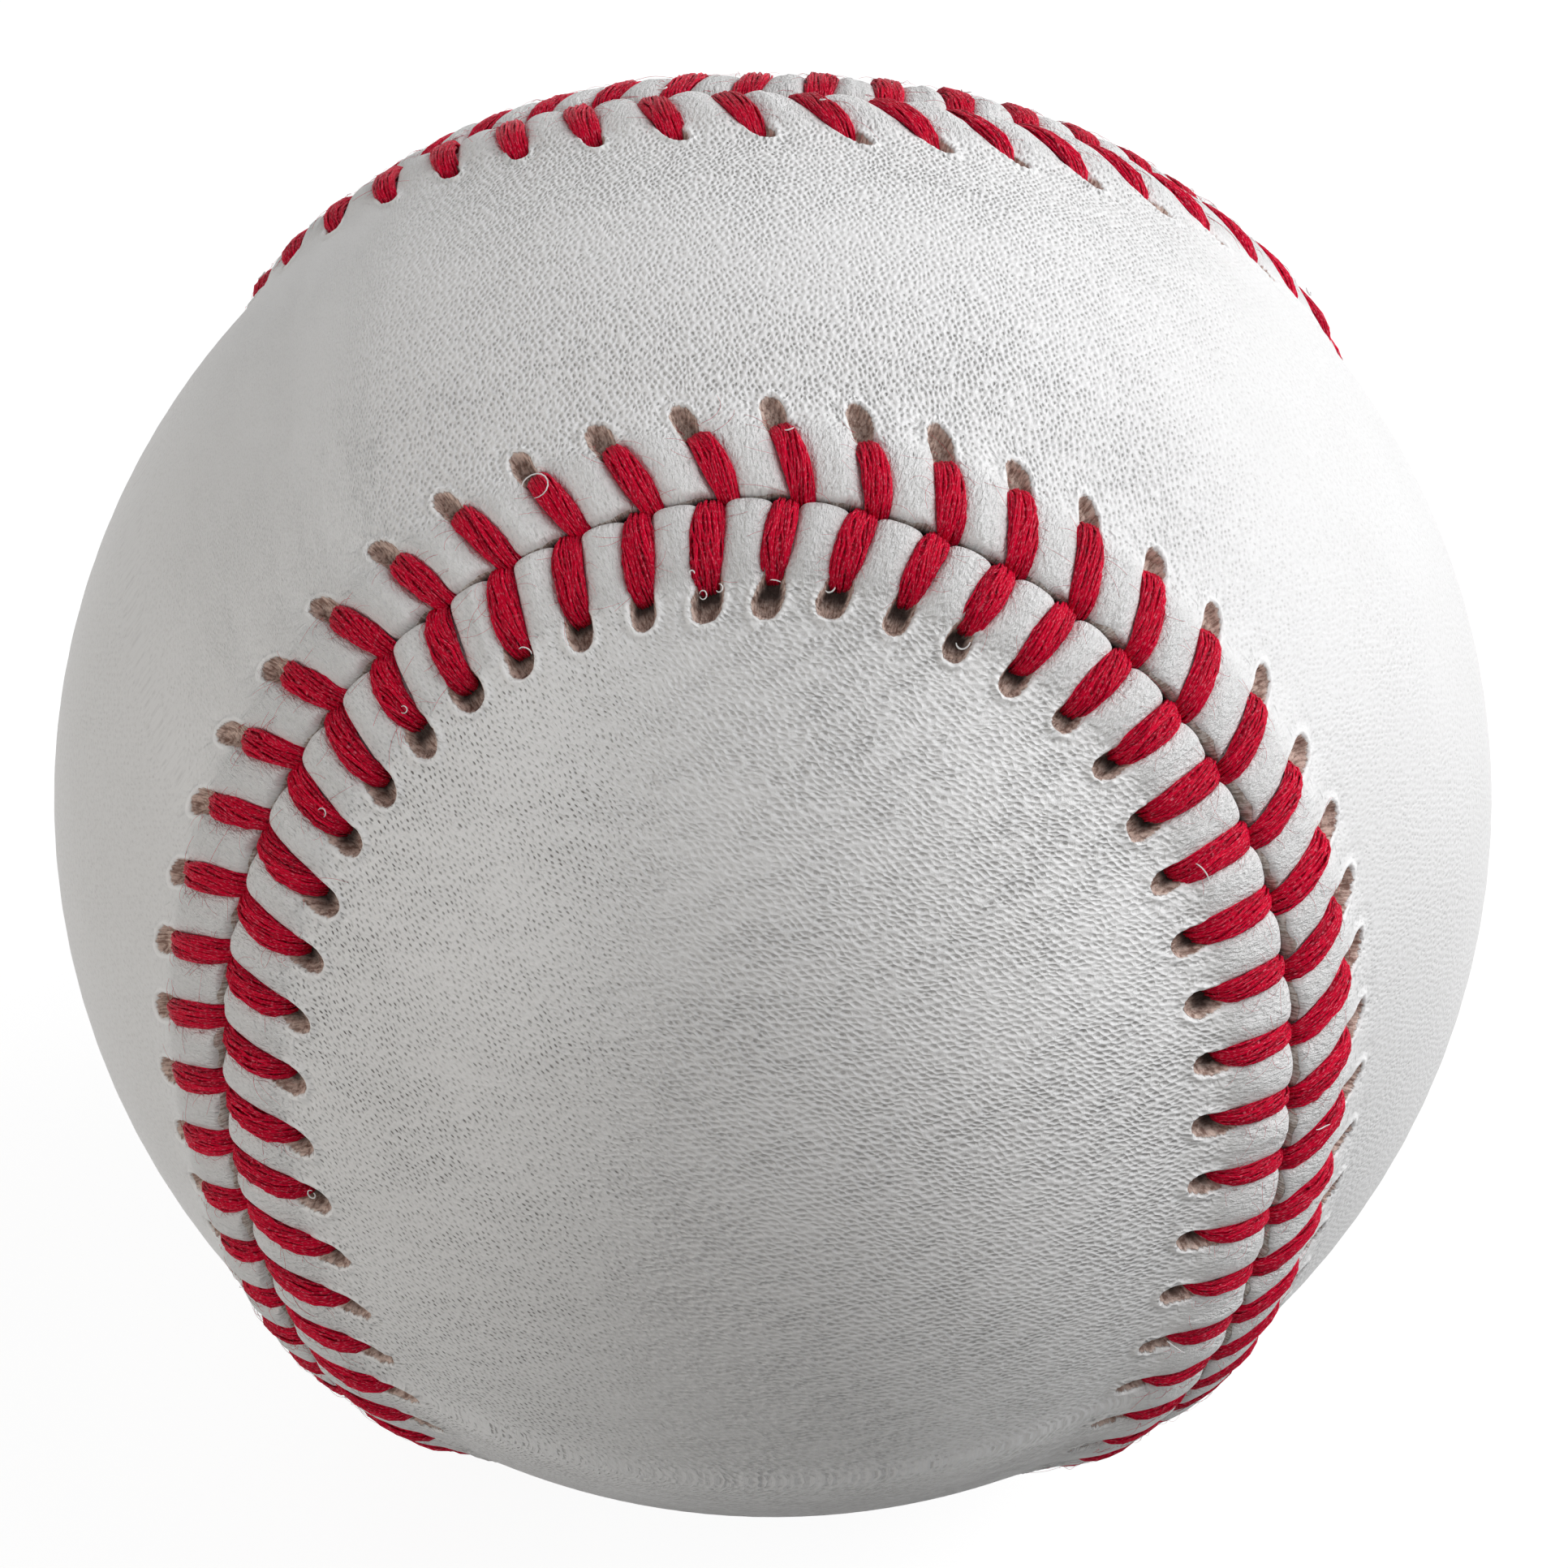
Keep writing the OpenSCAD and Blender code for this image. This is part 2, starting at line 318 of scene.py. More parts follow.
def leather_band(side):
    """Points of the band along the seam, with what the material needs to know of them."""
    puff, groove = curve_at(PUFF[side.name], ROWS), curve_at(GROOVE, ROWS)
    s, w, half, owner = leather_columns(side, groove[:, 0])
    random = side.random
    hole = HOLE[side.name]
    # every stitch differs a little
    height = random.uniform(0.96, 1.12, STITCHES)
    hole_w = random.normal(0, 0.05, STITCHES)
    leg_f = from_front(side, (np.arange(STITCHES) + 0.5) * PITCH)
    hole_d = hole["d"] + random.normal(0, 0.09, STITCHES) + pull(side, leg_f)[0]
    half_w = hole["half_w"] * random.uniform(0.88, 1.12, STITCHES)
    if side.lower:
        half_w = half_w * (1 + 0.12 * bump_at(leg_f, -22, 10) - 0.12 * smooth(22, 32, leg_f))
    else:
        half_w = half_w * (1 + 0.25 * bump_at(leg_f, -37, 10))
    far = hole["far"] * random.uniform(0.86, 1.14, STITCHES)
    tilt = hole["tilt"] + random.normal(0, 0.08, STITCHES)
    tilt = tilt - 0.25 * bump_at(leg_f, -5, 12) * (not side.lower)
    depth = random.uniform(0.9, 1.15, STITCHES) * (0.85 if side.lower else 0.62)

    # from under the thread, at 0, up to the middle between two stitches, at 1: the leather
    # reaches out to its cut edge sooner than it rises
    x = np.clip(groove[:, :1] / REACH, 0, 1)
    inner = thread_half_width(side, x) * slimmer(side, leg_f)[owner] - 0.10
    q = np.clip((np.abs(w) - inner) / (half - inner), 0, 1)
    rise_power, reach_power = 2.4, 4.5
    rise = np.sqrt(1 - (1 - q) ** rise_power)
    reach = np.sqrt(1 - (1 - q) ** reach_power)
    # the cut edge stands back unevenly, most beside a stitch, where it shows as a tan strip
    f = from_front(side, s)
    near = in_front(f)
    on_seam = band_dir(s, 0.0) * BALL_R
    back = 0.10 + near * (0.07 * smooth(10, 24, f) + 0.12 * smooth(-32, -42, f) - 0.07)
    back = back * (1 + 1.1 * ripple(on_seam, 2.8, 31 + side.lower))
    back = back + 0.16 * bump_at(w, -1.05, 0.55)
    back = np.clip(back, 0, 0.5) * smooth(8.5, 4.5, ROWS)[:, None] * (0.25 if side.lower else 1)
    d = groove[:, :1] + (puff[:, :1] + back - groove[:, :1]) * reach
    puff_h = puff[:, 1:] * np.where(puff[:, 1:] > 0, height[owner], 1)
    h = groove[:, 1:] + (puff_h - groove[:, 1:]) * rise
    # over the bare leather the stitches no longer press it down
    h = np.where(groove[:, :1] > 6.5, puff[:, 1:] * 0.6 + groove[:, 1:] * 0.4, h)

    # small unevenness where nothing holds the leather down
    directions = band_dir(s, d)
    loose = smooth(-0.2, 0.5, h) * smooth(7.4, 5.5, d)
    h = h + 0.022 * ripple(directions * BALL_R, 2.2, 5 + side.lower) * loose
    h = h + 0.012 * ripple(directions * BALL_R, 0.9, 7 + side.lower) * loose

    # needle holes, with the leather pulled up round them
    across, out = w - hole_w[owner], d - hole_d[owner]
    turned = across + out * tilt[owner]
    rho = np.hypot(turned / half_w[owner], out / np.where(out > 0, far[owner], hole["near"]))
    ragged = rho + 0.05 * ripple(directions * BALL_R, 0.7, 9)
    far_side = smooth(-0.5, 1.0, out)
    at_hole = smooth(3.8, 4.6, d)
    rim = bump_at(rho, 1.2, 0.19) * at_hole
    h = h + rim * (0.07 + 0.08 * far_side)
    sink = smooth(1.04, 0.62, ragged)
    h = h - sink * depth[owner]
    # a pulled crease on both sides of the hole
    h = h - 0.04 * bump_at(rho, 1.65, 0.25) * at_hole

    points = directions * (BALL_R + np.maximum(h, CEMENT_R - BALL_R + CLEAR))[..., None]
    bare_fibre = 0.5 + (1.0 - ragged) * 0.9
    # how far up the cut edge shows its suede, in steps of the profile
    top = 4.2 + near * (1.5 * smooth(10, 22, f) + 1.2 * smooth(-34, -42, f) - 0.9)
    top = 1.6 if side.lower else top + 0.5 * ripple(on_seam, 1.5, 37)
    cut = 0.5 + (top - ROWS[:, None]) * 0.35
    return {
        "points": points, "s": s, "d": d, "fan_w": w, "fan_d": out,
        "edge": np.clip(np.maximum(bare_fibre, cut), 0, 1), "rim": rim,
        "deep": np.clip(np.maximum(
            smooth(-0.15, -0.7, h) * smooth(0.3, -0.5, out) * (1.0 if side.lower else 0.45),
            smooth(-0.1, -0.5, h) * (ROWS < 5)[:, None]), 0, 1),
    }


def leather_mesh(side):
    """The panel's points, faces, maps and values: the band along the seam, then coarser rows
    from it to the panel's spine, on the bare leather and on the underside."""
    band = leather_band(side)
    rows, columns = band["s"].shape
    # one coarse column for this many fine ones
    coarse_step = 5
    coarse = columns // coarse_step
    quarter = coarse // 4
    bare_rows, inner_rows = 12, 6

    # the place on the spine that each coarse column runs to
    place = np.arange(coarse)
    place = np.where(place < quarter, place,
                     np.where(place < 3 * quarter, 2 * quarter - 1 - place, place - coarse))
    spine_places = np.arange(-quarter, quarter)
    # the spine ends this short of the seam, in degrees
    short = 30
    spine_angle = math.radians(180 - WAIST - short)
    spine = direction(spine_angle * (spine_places + 0.5) / quarter, 0.0)

    def sheet_rows(start, count, radius):
        """Rows of points from the band's rim to the spine."""
        share = (np.arange(count) + 1)[:, None, None] / (count + 1)
        inside = unit(start[None] * (1 - share) + spine[place + quarter][None] * share)
        return inside * radius

    outer = sheet_rows(unit(band["points"][-1, ::coarse_step]), bare_rows, BALL_R)
    inner = sheet_rows(unit(band["points"][0, ::coarse_step]), inner_rows, CEMENT_R + CLEAR)
    parts = [band["points"].reshape(-1, 3), outer.reshape(-1, 3), spine * BALL_R,
             inner.reshape(-1, 3), spine * (CEMENT_R + CLEAR)]
    starts = np.cumsum([0] + [len(p) for p in parts])
    points = np.concatenate(parts)
    bare = np.zeros(starts[5] - starts[1])
    values = {key: np.concatenate([band[key].ravel(), bare]) for key in ("edge", "deep", "rim")}
    # the underside is suede all over
    values["edge"][starts[3]:] = 1.0

    # faces of the band, with each corner's place along the seam and round its needle hole
    row, column = np.meshgrid(np.arange(rows - 1), np.arange(columns), indexing="ij")
    row, column = row.ravel(), column.ravel()
    corner_row = np.stack([row, row, row + 1, row + 1], -1)
    corner_column = np.stack([column, column + 1, column + 1, column], -1)
    wrapped = corner_column % columns
    faces = [corner_row * columns + wrapped]
    s = band["s"][corner_row, wrapped] + np.where(corner_column == columns, SEAM_LEN, 0)
    band_uv = [np.stack([s, band["d"][corner_row, wrapped]], -1)]
    rising = (column % COLUMNS < COLUMNS // 2)[:, None]
    fan_w = np.abs(band["fan_w"][corner_row, wrapped])
    fan_d = band["fan_d"][corner_row, wrapped]
    bearing = np.arctan2(fan_w, fan_d) * np.where(rising, 1, -1)
    fan_uv = [np.stack([bearing * FAN_STEP, np.hypot(fan_w, fan_d)], -1)]

    def add(corners):
        """Faces off the band, which need no place in its two maps."""
        faces.append(corners)
        band_uv.append(np.zeros(corners.shape + (2,)) + OFF_MAP)
        fan_uv.append(np.zeros(corners.shape + (2,)) + OFF_MAP)

    def join(fine_row, first, spine_start, count, flip):
        """Joins a row of the band to the coarse rows that run to the spine."""
        def coarse_id(r, q):
            if r < count:
                return first + r * coarse + q % coarse
            return spine_start + quarter + place[q % coarse]

        def keep(corners):
            """Adds the triangles that have three corners of their own."""
            corners = corners[:, ::-1] if flip else corners
            whole = (corners != np.roll(corners, 1, axis=1)).all(axis=1)
            add(corners[whole])

        q = np.arange(coarse)
        for k in range(coarse_step):
            a = fine_row * columns + q * coarse_step + k
            b = fine_row * columns + (q * coarse_step + k + 1) % columns
            keep(np.stack([a, b, coarse_id(0, q + (k >= coarse_step // 2 + 1))], -1))
            if k == coarse_step // 2:
                keep(np.stack([coarse_id(0, q), b, coarse_id(0, q + 1)], -1))
        for r in range(count):
            keep(np.stack([coarse_id(r, q), coarse_id(r, q + 1), coarse_id(r + 1, q)], -1))
            keep(np.stack([coarse_id(r, q + 1), coarse_id(r + 1, q + 1), coarse_id(r + 1, q)], -1))

    join(rows - 1, starts[1], starts[2], bare_rows, False)
    join(0, starts[3], starts[4], inner_rows, True)
    return points, faces, {"band": band_uv, "fan": fan_uv}, values


def make_piece(name, side, points, faces, uvs, values, body="root"):
    """A Blender mesh from points in mm. uvs hold a place for each corner of each face. The
    lower side's place is a mirror image of the upper one's, so its faces are turned round."""
    order = slice(None, None, -1 if side.lower else 1)
    lists = [corners for block in faces for corners in block[:, order].tolist()]
    mesh = bpy.data.meshes.new(name)
    mesh.from_pydata(side.place(points) * MM, [], lists)
    for key, parts in uvs.items():
        layer = mesh.uv_layers.new(name=key)
        places = np.concatenate([part[:, order].reshape(-1, 2) for part in parts])
        layer.data.foreach_set("uv", places.astype(np.float32).ravel())
    for key, data in values.items():
        layer = mesh.attributes.new(key, "FLOAT", "POINT")
        layer.data.foreach_set("value", data.astype(np.float32))
    mesh.polygons.foreach_set("use_smooth", [True] * len(mesh.polygons))
    mesh.update()
    piece = bpy.data.objects.new(name, mesh)
    bpy.context.scene.collection.objects.link(piece)
    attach(piece, body)
    return piece


# Thread

# Each leg of thread is a core with strands round its top
STRANDS = 20
STRAND_SAMPLES = 10
STRAND_R = 0.070
STRAND_SIDES, CORE_SIDES = 4, 8
CORE_TONE = 0.2
# The shape of one random value for each leg
EACH = (STITCHES, 1)
# Half the width of a leg for which the strands' places and radius are given, and half its
# thickness
USUAL_W, USUAL_T = 0.70, 0.27
# Loose fibres on the thread, and lint: points along each one, and its sides
FUZZ_SAMPLES, FUZZ_SIDES = 6, 3
LINT_SAMPLES, LINT_SIDES = 14, 5


def leg_line(side, along, random):
    """Middle line of every leg with the directions across and out of it."""
    stitch = np.arange(STITCHES)[:, None]
    start = (0.08 if side.lower else 0.10) + random.normal(0, 0.03, EACH)
    end = 3.9 + random.normal(0, 0.12, EACH)
    end = end + pull(side, from_front(side, (stitch + 0.5) * PITCH))[1]
    x = (along + 1) / 2
    d = start + (end - start) * x
    bow = (0.07 if side.lower else -0.05) + random.normal(0, 0.03, EACH)
    s = leg_s(side, stitch, d) - bow * (1 - along ** 2) + random.normal(0, 0.035, EACH)
    top = THREAD_LIFT + random.normal(0, 0.02, EACH)
    # the seam end dives less deep than the end in the hole
    floor = np.where(along < 0, -0.45, -0.75)
    h = floor + (top - floor) * np.sqrt(np.maximum(1 - np.abs(along) ** 2.8, 0))
    out = band_dir(s, d)
    middle = out * (BALL_R + h)[..., None]
    tangent = unit(np.gradient(middle, axis=1))
    across = unit(np.cross(tangent, out))
    up = unit(np.cross(across, tangent))
    return middle, tangent, across, up


def tubes(centres, first, second, radius_a, radius_b, sides):
    """Rings round lines of points, with one radius along first and the other along second.
    centres is (tubes, samples, 3)."""
    angle = np.arange(sides)[:, None] * 2 * math.pi / sides
    ring = (first[..., None, :] * (np.cos(angle) * radius_a[..., None, None])
            + second[..., None, :] * (np.sin(angle) * radius_b[..., None, None]))
    return centres[..., None, :] + ring


def across_line(centre, out):
    """Two directions across lines of points: beside each line, and nearly along out."""
    run = unit(np.gradient(centre, axis=1))
    beside = unit(np.cross(run, out))
    return beside, np.cross(beside, run)


def tube_faces(count, samples, sides, start):
    """Quads between the rings of tubes, end caps, and the map's places for both. start is
    the number of the first point."""
    tube, sample, side = np.meshgrid(
        np.arange(count), np.arange(samples - 1), np.arange(sides), indexing="ij")
    tube, sample, side = tube.ravel(), sample.ravel(), side.ravel()

    def ident(a, b):
        return start + (tube * samples + a) * sides + b % sides
    quads = np.stack([ident(sample, side), ident(sample + 1, side),
                      ident(sample + 1, side + 1), ident(sample, side + 1)], -1)
    uv = np.stack([
        np.stack([side, side, side + 1, side + 1], -1) / sides,
        np.stack([sample, sample + 1, sample + 1, sample], -1) / (samples - 1)], -1)
    # each tube has its own place in the map, so no two look alike
    uv[..., 0] += (tube * 0.37 + start * 0.00137)[:, None]
    ring = start + np.arange(count)[:, None] * samples * sides + np.arange(sides)
    caps = np.concatenate([ring, ring[:, ::-1] + (samples - 1) * sides])
    return quads, uv, caps, np.zeros(caps.shape + (2,))


def flat_outline(place, half_width, half_height):
    """A point on a flattened bundle's outline, place being the distance round it from the
    middle of its top, with the direction straight out of it."""
    crown = 0.07
    straight = half_width - half_height
    beyond = np.clip(np.abs(place) - straight, 0, None)
    angle = beyond / half_height
    sign = np.sign(place)
    x = np.where(np.abs(place) < straight, place, sign * (straight + half_height * np.sin(angle)))
    y = half_height * np.cos(angle)
    y = y + crown * (1 - (x / half_width) ** 2)
    normal_x, normal_y = sign * np.sin(angle), np.cos(angle)
    return x, y, normal_x, normal_y


def thread_piece(side):
    """All the legs of thread on one panel."""
    random = side.random
    along = np.sin(np.linspace(-math.pi / 2, math.pi / 2, STRAND_SAMPLES))[None, :]
    middle, tangent, across, up = leg_line(side, along, random)
    # the leg goes into its hole askew, most to the right of the picture
    leg_f = from_front(side, (np.arange(STITCHES)[:, None] + 0.5) * PITCH)
    askew = (0.15 + 0.35 * smooth(0, 25, leg_f)) * smooth(-0.2, 1.0, along)
    width = thread_half_width(side, (along + 1) / 2) * slimmer(side, leg_f)
    width = width * random.uniform(0.96, 1.08, EACH)
    thick = USUAL_T * random.uniform(0.94, 1.06, EACH)

    parts, faces, uvs, tones = [], [], [], []

    def add(rings, tone, sides):
        count, samples = rings.shape[:2]
        start = sum(len(p) for p in parts)
        parts.append(rings.reshape(-1, 3))
        quads, uv, caps, caps_uv = tube_faces(count, samples, sides, start)
        faces.extend([quads, caps])
        uvs.extend([uv, caps_uv])
        tones.append(np.repeat(tone, samples * sides))

    core = tubes(middle, across, up, width - 0.10, thick - 0.06, CORE_SIDES)
    add(core, np.full(STITCHES, CORE_TONE), CORE_SIDES)

    slant = 0.42 * random.uniform(0.5, 1.4, EACH)
    for around in np.linspace(-1, 1, STRANDS):
        reach = 0.97 + random.normal(0, 0.012, EACH)
        wobble = random.normal(0, 0.05, (STITCHES, 3))
        wander = (wobble[:, :1] * np.sin(2.2 * along + 1) + wobble[:, 1:2] * np.sin(4.3 * along)
                  + wobble[:, 2:] * np.cos(6.1 * along + 2))
        twist = slant * along * (1 - abs(around) * 0.25)
        place = (around * reach + twist + wander) * width / USUAL_W
        x, y, nx, ny = flat_outline(place, width - STRAND_R * 0.7, thick - STRAND_R * 0.3)
        lift = random.normal(-0.015, 0.022, EACH)
        lift = lift + 0.018 * np.sin(5 * along + random.uniform(0, 6, EACH))
        centre = middle + across * (x + nx * lift)[..., None] + up * (y + ny * lift)[..., None]
        centre = centre - tangent * (askew * x / width)[..., None]
        radius = STRAND_R * random.uniform(0.82, 1.18, EACH) * (width / USUAL_W) ** 0.5
        beside, away = across_line(centre, across * nx[..., None] + up * ny[..., None])
        add(tubes(centre, beside, away, radius, radius, STRAND_SIDES),
            random.uniform(0.2, 1.0, STITCHES), STRAND_SIDES)

    piece = make_piece(side.name + "_thread", side, np.concatenate(parts), faces,
                       {"strand": uvs}, {"tone": np.concatenate(tones)})
    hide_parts(side.name + "_thread_legs")
    return piece


def fibre_piece(name, side, centre, radius, sides, values):
    """A piece of loose fibres, each a thin tube round a line of points."""
    beside, away = across_line(centre, unit(centre))
    rings = tubes(centre, beside, away, radius, radius, sides)
    quads, uv, caps, caps_uv = tube_faces(centre.shape[0], centre.shape[1], sides, 0)
    return make_piece(name, side, rings.reshape(-1, 3), [quads, caps],
                      {"strand": [uv, caps_uv]}, values)


def walk(start, steps):
    """Places along lines that begin at start and go on by all steps but the first."""
    return start[:, None] + np.cumsum(steps, axis=1) - steps[:, :1]


def fuzz_piece(side):
    """Loose fibres that stand off the thread and lie over the leather."""
    random = side.random
    hairs_on_a_leg = 26
    stitch = np.repeat(np.arange(STITCHES), hairs_on_a_leg)
    count = len(stitch)
    x = random.uniform(0.05, 0.92, count)
    start_d = 0.1 + 4.4 * x
    sign = random.choice([-1, 1], count)
    half = thread_half_width(side, x)
    start_w = sign * half * random.uniform(0.55, 1.0, count)
    length = np.clip(random.gamma(1.3, 0.42, count), 0.2, 2.4)
    heading = sign * random.normal(1.2, 0.5, count)
    bend = random.normal(0, 0.9, count)
    step = np.linspace(0, 1, FUZZ_SAMPLES)[None, :]
    turn = heading[:, None] + bend[:, None] * step
    step_len = length[:, None] / (FUZZ_SAMPLES - 1)
    w = walk(start_w, np.sin(turn) * step_len)
    d = walk(start_d, np.cos(turn) * step_len)
    lift = random.uniform(0.02, 0.3, count)[:, None]
    # the part of the profile that lies on top, past the cut edge
    top = np.array(PUFF[side.name][5:])
    h = np.interp(d, top[:, 0], top[:, 1]) + 0.06
    h = h + lift * np.sin(step * math.pi) * np.minimum(length, 1.2)[:, None] * 0.6
    s = leg_s(side, stitch[:, None], d) + w
    centre = band_dir(s, d) * (BALL_R + h)[..., None]
    radius = random.uniform(0.007, 0.012, (count, 1)) * (1 - 0.4 * step)
    tone = np.repeat(random.uniform(0.5, 1.0, count), FUZZ_SAMPLES * FUZZ_SIDES)
    piece = fibre_piece(side.name + "_thread_fuzz", side, centre, radius, FUZZ_SIDES, {"tone": tone})
    return piece


def lint_piece():
    """White lint caught in the stitches: one ring, short curls and straight bits."""
    random = np.random.default_rng(41)
    # the bits in the photograph: distance along the seam from its front, distance off it,
    # heading and curl in degrees, length
    bits = [(-11.1, 2.6, 100, -290, 3.4), (29.8, -3.95, 35, -50, 1.5), (-28.8, -3.4, -30, 200, 0.9),
            (-21.4, -3.2, 10, -260, 0.9), (-4.0, -3.9, 60, 250, 0.6), (-3.9, -4.9, 80, -320, 1.3),
            (-2.9, -4.7, -70, 240, 0.9), (0.3, -4.4, 15, -40, 0.7), (0.6, 3.3, -20, 90, 0.5),
            (11.3, -4.7, -60, 160, 1.1), (-14.3, -4.4, 20, -120, 0.9), (-50.2, -5.6, 60, 330, 1.4),
            (58.7, -4.9, 40, 15, 1.9), (3.6, -4.5, -40, 120, 0.7), (47.2, 1.2, 70, 20, 1.2)]
    # and bits at random on the rest of the seam
    shown, apart = 85, 9.0
    for s in np.arange(shown, SEAM_LEN - shown, apart):
        bits.append((s + random.uniform(-3, 3), random.uniform(-4.8, 4.2), random.uniform(0, 360),
                     random.uniform(-300, 300), random.uniform(0.5, 1.5)))
    start_s, start_d, heading, curl, length = np.array(bits).T[..., None]
    step = np.linspace(0, 1, LINT_SAMPLES)[None, :]
    turn = np.radians(heading + curl * step)
    s = start_s + np.cumsum(np.cos(turn), axis=1) * length / LINT_SAMPLES
    d = start_d + np.cumsum(np.sin(turn), axis=1) * length / LINT_SAMPLES
    h = np.interp(np.abs(d), [0, 0.7, 3.3, 4.6, 6.0], [1.0, 1.12, 1.10, 0.72, 0.4])
    h = h + 0.04 * np.sin(5 * step + heading)
    centre = band_dir(s, d) * (BALL_R + h)[..., None]
    radius = random.uniform(0.03, 0.048, (len(bits), 1)) * (1 + 0.3 * (length > 2))
    radius = radius * (1 - 0.5 * np.abs(2 * step - 1) ** 3)
    piece = fibre_piece("lint", UPPER, centre, radius, LINT_SIDES, {})
    return piece


# Materials

class Tree:
    """A short way to write the nodes of a material or a world."""

    def __init__(self, owner, output="OutputMaterial"):
        owner.use_nodes = True
        self.owner, self.tree = owner, owner.node_tree
        self.tree.nodes.clear()
        self.output = self.node(output).inputs[0]

    def put(self, socket, value):
        """Links a socket to the input, or sets it to a constant."""
        if isinstance(value, bpy.types.NodeSocket):
            self.tree.links.new(value, socket)
        else:
            socket.default_value = value

    def node(self, kind, inputs=None, **settings):
        made = self.tree.nodes.new("ShaderNode" + kind)
        for key, value in settings.items():
            setattr(made, key, value)
        for key, value in (inputs or {}).items():
            self.put(made.inputs[key], value)
        return made

    def math(self, operation, a, b=0.0, c=0.0):
        return self.node("Math", {0: a, 1: b, 2: c}, operation=operation).outputs[0]

    def plus(self, a, b):
        return self.math("ADD", a, b)

    def times(self, a, b):
        return self.math("MULTIPLY", a, b)

    def times_plus(self, a, b, c):
        """a times b, plus c."""
        return self.math("MULTIPLY_ADD", a, b, c)

    def off_zero(self, a):
        return self.math("ABSOLUTE", a)

    def fit(self, value, low, high, to_low=0.0, to_high=1.0):
        """A smooth step from to_low at low to to_high at high."""
        made = self.node("MapRange", {"Value": value, "From Min": low, "From Max": high,
                                      "To Min": to_low, "To Max": to_high},
                         interpolation_type="SMOOTHSTEP")
        return made.outputs["Result"]

    def mix(self, share, a, b):
        """The colour a, with that share of b."""
        return self.node("Mix", {0: share, 6: a, 7: b}, data_type="RGBA").outputs[2]

    def uv(self, name):
        return self.node("UVMap", uv_map=name).outputs[0]

    def value(self, name):
        """A value that the mesh holds for each point."""
        return self.node("Attribute", attribute_name=name).outputs["Fac"]

    def part(self, vector, axis):
        return self.node("SeparateXYZ", {0: vector}).outputs[axis]

    def mapped(self, vector, scale=(1, 1, 1), turn=0.0):
        """Places scaled first, and then turned by that many degrees."""
        made = self.node("Mapping", {"Vector": vector, "Scale": scale,
                                     "Rotation": (0, 0, math.radians(turn))})
        return made.outputs[0]

    def in_space(self, steps):
        """Places on the piece in space, with that many steps to a metre."""
        return self.mapped(self.node("TexCoord").outputs["Object"], scale=(steps, steps, steps))

    def noise(self, vector, scale, detail=2.0, rough=0.5, flat=True):
        made = self.node("TexNoise", {"Vector": vector, "Scale": scale, "Detail": detail,
                                      "Roughness": rough},
                         noise_dimensions="2D" if flat else "3D")
        return made.outputs[0]

    def bump(self, height):
        """Bump from a height in mm."""
        made = self.node("Bump", {"Strength": 1.0, "Distance": MM, "Height": height})
        self.put(self.shader.inputs["Normal"], made.outputs[0])

    def shade(self, **inputs):
        for key, value in inputs.items():
            self.put(self.shader.inputs[key.replace("_", " ")], value)


def surface(name):
    """The tree of a new procedural material."""
    tree = Tree(bpy.data.materials.new(name))
    tree.shader = tree.node("BsdfPrincipled")
    tree.put(tree.output, tree.shader.outputs[0])
    return tree


def pits(tree, vector, wide, long, turn, rows, loose):
    """Small pores in slanting rows, each in a shallow bowl: how much of a pore and how
    much of a ridge between two bowls there is. The pores are long along turn."""
    wander = 0.5
    shift = tree.node("TexNoise", {"Vector": vector, "Scale": 0.45, "Detail": 1.0},
                      noise_dimensions="2D").outputs[1]
    moved = tree.node("VectorMath", {0: shift, 1: (wander, wander, 0)}, operation="MULTIPLY")
    moved = tree.node("VectorMath", {0: vector, 1: moved.outputs[0]}, operation="ADD").outputs[0]
    turned = tree.mapped(moved, turn=turn)
    lattice = tree.mapped(turned, scale=(1 / wide, 1 / long, 1), turn=rows)
    cells = tree.node("TexVoronoi", {"Vector": lattice, "Scale": 1.0, "Randomness": loose},
                      voronoi_dimensions="2D")
    distance, colour = cells.outputs["Distance"], cells.outputs["Color"]
    pore = tree.times(tree.fit(distance, 0.28, 0.09), tree.times_plus(tree.part(colour, 0), 0.7, 0.3))
    ridge = tree.times(tree.fit(distance, 0.22, 0.66), tree.times_plus(tree.part(colour, 1), 0.6, 0.4))
    return pore, ridge


